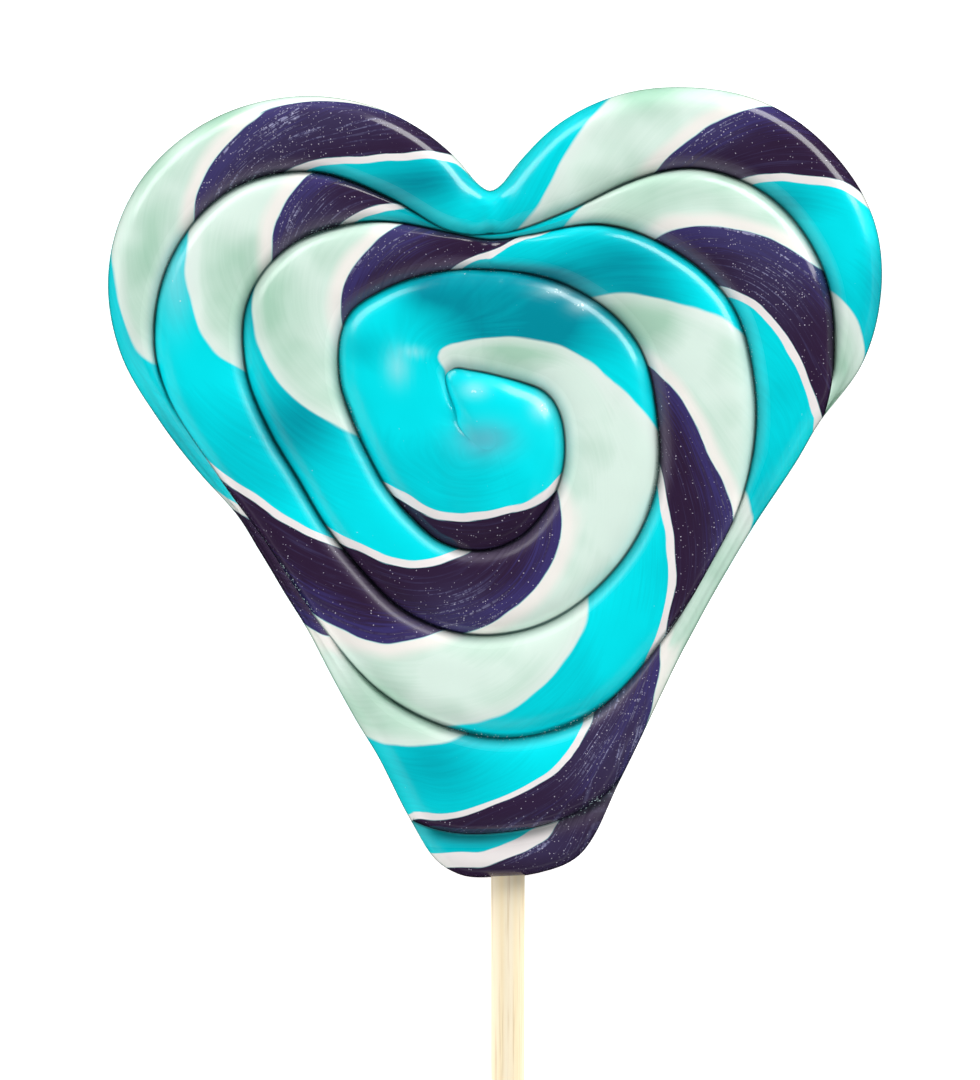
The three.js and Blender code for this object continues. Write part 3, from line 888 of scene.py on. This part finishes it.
def pulled_sugar():
    material = bpy.data.materials.new("pulled_sugar")
    material.use_nodes = True
    tree = material.node_tree
    tree.nodes.clear()
    phase, mm_per_twist, white_line = read_values(tree, "twist")
    along_rope, across, seam_mm = read_values(tree, "rope")
    depth_and_shade, edge_mm, smear_and_shade = read_values(tree, "depth")
    bubbly, frost_and_glint, worn = read_values(tree, "marks")
    place = node(tree, "TexCoord").outputs["Object"]
    place = node(tree, "VectorMath", {0: place, "Scale": 1 / MM}, operation="SCALE").outputs[0]

    # Fibres are long along a stripe and thin across it.
    over_fibres = times(tree, phase, FIBRES_PER_TWIST)
    fibre_place = at(tree, over_fibres, times(tree, along_rope, FIBRE_STRETCH))
    fibres = grain(tree, fibre_place, 0.5, 3.0, 0.6)

    # Bubbles stand in the cells of a lattice: how far the nearest is, and two chances for each.
    cells = node(tree, "TexVoronoi", {"Vector": place, "Scale": BUBBLES_PER_MM})
    chance, kind, _ = node(tree, "SeparateXYZ", {0: cells.outputs["Color"]}).outputs
    bubbles = (cells.outputs["Distance"], chance, kind)

    # The stripes' edges wander a little.
    wander = between(tree, grain(tree, place, 3.0, 1.0), 0.0, 1.0, -0.35, 0.35)
    wander = add(tree, wander, between(tree, fibres, 0.0, 1.0, -0.12, 0.12))
    phase = add(tree, phase, calculate(tree, "DIVIDE", wander, mm_per_twist))
    turned = calculate(tree, "FRACT", phase)
    after_start = times(tree, turned, mm_per_twist)
    after_indigo = times(tree, subtract(tree, turned, THIRD), mm_per_twist)
    after_turquoise = times(tree, subtract(tree, turned, 2 * THIRD), mm_per_twist)
    before_indigo = times(tree, subtract(tree, 1.0, turned), mm_per_twist)
    in_mint = inside_stripe(tree, phase, mm_per_twist, 2 * THIRD)
    in_indigo = inside_stripe(tree, phase, mm_per_twist, THIRD)

    turquoise = turquoise_colour(tree, depth_and_shade, along_rope, across, fibres)
    mint = mint_colour(tree, depth_and_shade, after_turquoise, before_indigo, place, fibres)
    indigo = indigo_colour(tree, worn, after_start, across, seam_mm, fibres, bubbles)
    colour = blend(tree, between(tree, in_mint, *MINT_EDGE_BLUR), turquoise, mint)
    colour = with_white_line(tree, colour, after_indigo, white_line)
    # A pale film of fine sugar, partly a painted highlight, and fine grains.
    colour = with_sugar_and_glints(tree, colour, frost_and_glint, place)
    colour = blend(tree, between(tree, in_indigo, *EDGE_BLUR), colour, indigo)
    # The dull smear in the knob, with painted shade of its crease.
    colour = blend(tree, times(tree, smear_and_shade, 0.45), colour, KNOB_SMEAR_AND_SHADE_COLOUR)

    # Painted shade in the grooves and at the rounded edge, and painted glints among the crumbs.
    beyond = between(tree, across, 0.52, 0.48)
    colour = with_groove_shade(tree, colour, seam_mm, beyond, bubbly, in_indigo)
    colour = with_rim_shade(tree, colour, edge_mm)
    colour = with_crumbs_and_glints(tree, colour, seam_mm, bubbly, fibres, bubbles)

    # Indigo is the glossiest, and the turn outside a groove is dull beside it.
    rough = between(tree, in_indigo, -0.1, 0.1, 0.22, 0.15)
    dull = times(tree, between(tree, seam_mm, *ROUGH_SIDE, 0.4, 0.0), beyond)
    rough = add(tree, rough, dull)
    dimples = times(tree, grain(tree, place, 1.6, 1.0), DIMPLE_HEIGHT)
    height = add(tree, times(tree, fibres, FIBRE_HEIGHT), dimples)
    bump = node(tree, "Bump", {"Height": height, "Distance": MM, "Strength": 1.0})
    shader = node(tree, "BsdfPrincipled", {
        "Base Color": colour,
        "Roughness": rough,
        "IOR": 1.47,
        "Coat Weight": 0.12,
        "Coat Roughness": 0.05,
        "Normal": bump.outputs["Normal"],
    })
    output = node(tree, "OutputMaterial")
    tree.links.new(shader.outputs[0], output.inputs["Surface"])
    return material


heart_mesh.materials.append(pulled_sugar())
heart = bpy.data.objects.new("pressed_heart", heart_mesh)
bpy.context.scene.collection.objects.link(heart)
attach(heart, "root")
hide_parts("candy_heart")

# ---------------------------------------------------------------- the stick
# A round stick of pale birch, turned smooth but with open grain. It was pushed into the warm
# candy through the tip, and the candy set onto it.

STICK_SIDES = 72
STICK_STEP = 2.5             # millimetres between its cross-sections
STICK_CHAMFER = 0.4
GRAIN_DEPTH = 0.025
GRAIN_AROUND = 6             # more has more grain lines around the stick
GRAIN_ALONG = 60             # millimetres over which a grain line changes
GRAIN_STRETCH = 0.02         # of the colour's grain, along the stick

BIRCH_PALE = (1.0, 0.90, 0.70, 1)
BIRCH_WARM = (0.98, 0.82, 0.53, 1)
BIRCH_LINE = (0.66, 0.46, 0.24, 1)


def turned_stick(low, high):
    """Rings of points from the lower end to the upper one, closed by a face at each end."""
    radius = (high.x - low.x) / 2 / MM
    length = (high.y - low.y) / MM
    steps = round(length / STICK_STEP)
    straight = length - 2 * STICK_CHAMFER
    middle = (low + high) / 2
    rings = [(0, radius - STICK_CHAMFER)]
    rings += [(STICK_CHAMFER + straight * i / steps, radius) for i in range(steps + 1)]
    rings += [(length, radius - STICK_CHAMFER)]
    points = []
    for run, size in rings:
        for side in range(STICK_SIDES):
            turn = 2 * math.pi * side / STICK_SIDES
            around = (GRAIN_AROUND * math.cos(turn), GRAIN_AROUND * math.sin(turn))
            worn = GRAIN_DEPTH * (noise.noise(Vector((*around, run / GRAIN_ALONG))) - 1) / 2
            out = (size + worn) * MM
            x = middle.x + out * math.cos(turn)
            z = middle.z + out * math.sin(turn)
            points.append((x, low.y + run * MM, z))
    faces = []
    for ring in range(len(rings) - 1):
        for side in range(STICK_SIDES):
            after = (side + 1) % STICK_SIDES
            first, second = ring * STICK_SIDES, (ring + 1) * STICK_SIDES
            faces.append((first + side, second + side, second + after, first + after))
    last = (len(rings) - 1) * STICK_SIDES
    faces.append(tuple(range(STICK_SIDES)))
    faces.append(tuple(last + side for side in reversed(range(STICK_SIDES))))
    mesh = bpy.data.meshes.new("turned_stick")
    mesh.from_pydata(points, [], faces)
    return mesh


def birch():
    material = bpy.data.materials.new("birch")
    material.use_nodes = True
    tree = material.node_tree
    tree.nodes.clear()
    place = node(tree, "TexCoord").outputs["Object"]
    stretch = (1 / MM, GRAIN_STRETCH / MM, 1 / MM)
    place = node(tree, "VectorMath", {0: place, 1: stretch}, operation="MULTIPLY").outputs[0]
    bands = grain(tree, place, 1.1, 2.0, 0.6)
    lines = grain(tree, place, 0.22, 3.0, 0.7)
    colour = blend(tree, between(tree, bands, 0.35, 0.65), BIRCH_PALE, BIRCH_WARM)
    colour = blend(tree, between(tree, lines, 0.52, 0.7, 0.0, 0.55), colour, BIRCH_LINE)
    bump = node(tree, "Bump", {"Height": lines, "Distance": 0.04 * MM, "Strength": 1.0})
    shader = node(tree, "BsdfPrincipled", {
        "Base Color": colour,
        "Roughness": between(tree, lines, 0.3, 0.7, 0.5, 0.68),
        "IOR": 1.45,
        "Normal": bump.outputs["Normal"],
    })
    output = node(tree, "OutputMaterial")
    tree.links.new(shader.outputs[0], output.inputs["Surface"])
    return material


stick_mesh = turned_stick(stick_low, stick_high)
stick_mesh.polygons.foreach_set("use_smooth", [True] * len(stick_mesh.polygons))
stick_mesh.materials.append(birch())
stick = bpy.data.objects.new("turned_stick", stick_mesh)
bpy.context.scene.collection.objects.link(stick)
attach(stick, "root")
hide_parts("stick")

# ---------------------------------------------------------------- the table
# The lollipop lies on its back on a pale matt table, which glows a little so that it stays white
# all over. The table isn't seen in the candy's gloss.

TABLE_HALF = 2.0             # metres
TABLE_FINISH = {
    "Base Color": (0.95, 0.95, 0.95, 1),
    "Roughness": 0.9,
    "Emission Color": (1, 1, 1, 1),
    "Emission Strength": 0.6,
}

table_mesh = bpy.data.meshes.new("table_top")
corners = [(x * TABLE_HALF, y * TABLE_HALF, 0) for x, y in ((-1, -1), (1, -1), (1, 1), (-1, 1))]
table_mesh.from_pydata(corners, [], [(0, 1, 2, 3)])
table = bpy.data.objects.new("table_top", table_mesh)
bpy.context.scene.collection.objects.link(table)
pale_table = bpy.data.materials.new("pale_table")
pale_table.use_nodes = True
for name, value in TABLE_FINISH.items():
    pale_table.node_tree.nodes["Principled BSDF"].inputs[name].default_value = value
table_mesh.materials.append(pale_table)
table.visible_glossy = False

# ---------------------------------------------------------------- the studio
# Two large soft lights stand low beyond the lobes, and the shoulders of the turns mirror them as
# long streaks. Three more only fill from the stick's side. The room is pale low down and dark
# overhead.

ROOM_COLOUR = (0.95, 0.97, 1.0, 1)
LIGHT_DISTANCE = 0.9
focus = Vector(coil_middle)

world = bpy.data.worlds.new("studio")
world.use_nodes = True
tree = world.node_tree
height = node(tree, "SeparateXYZ", {0: node(tree, "TexCoord").outputs["Generated"]}).outputs[2]
above_horizon = between(tree, height, -0.02, 0.0)
glow = times(tree, between(tree, height, 0.0, 0.3, 0.6, 0.03), above_horizon)
tree.links.new(glow, tree.nodes["Background"].inputs["Strength"])
tree.nodes["Background"].inputs["Color"].default_value = ROOM_COLOUR
bpy.context.scene.world = world


def soft_light(name, clock, elevation, size, power, mirrored):
    """A rectangular light at a clock angle and an elevation, which looks at the coil's middle. Only
    a mirrored one is seen in the gloss of the candy."""
    clock, elevation = math.radians(clock), math.radians(elevation)
    level = math.cos(elevation)
    way = Vector((level * math.sin(clock), level * math.cos(clock), math.sin(elevation)))
    data = bpy.data.lights.new(name, "AREA")
    data.shape = "RECTANGLE"
    data.size, data.size_y = size
    data.energy = power
    light = bpy.data.objects.new(name, data)
    light.location = focus + way * LIGHT_DISTANCE
    light.rotation_euler = way.to_track_quat("Z", "Y").to_euler()
    light.visible_glossy = mirrored
    bpy.context.scene.collection.objects.link(light)


soft_light("bright_right", 42, 19, (0.8, 0.5), 10.0, True)
soft_light("soft_left", 318, 22, (0.7, 0.5), 4.8, True)
soft_light("fill_below", 192, 38, (0.6, 0.6), 2.8, False)
soft_light("fill_low_left", 244, 32, (0.6, 0.6), 2.9, False)
soft_light("fill_low_right", 130, 30, (0.6, 0.6), 1.5, False)

# ---------------------------------------------------------------- the camera
# It looks straight down through a long lens, from over the place on the lollipop that is the
# middle of the picture.

LENS = 180
SENSOR = 36
VIEW_HEIGHT = 127.06         # millimetres of the lollipop from the picture's top to its bottom
VIEW_MIDDLE = (0, -12.94)    # x, y from the coil's middle

camera_data = bpy.data.cameras.new("camera")
camera_data.lens = LENS
camera_data.sensor_width = SENSOR
camera_data.clip_start = 0.05
camera = bpy.data.objects.new("camera", camera_data)
camera.location = focus + Vector((*VIEW_MIDDLE, VIEW_HEIGHT * LENS / SENSOR)) * MM
bpy.context.scene.collection.objects.link(camera)
bpy.context.scene.camera = camera

bpy.context.scene.view_settings.view_transform = "Standard"
bpy.context.scene.view_settings.look = "None"
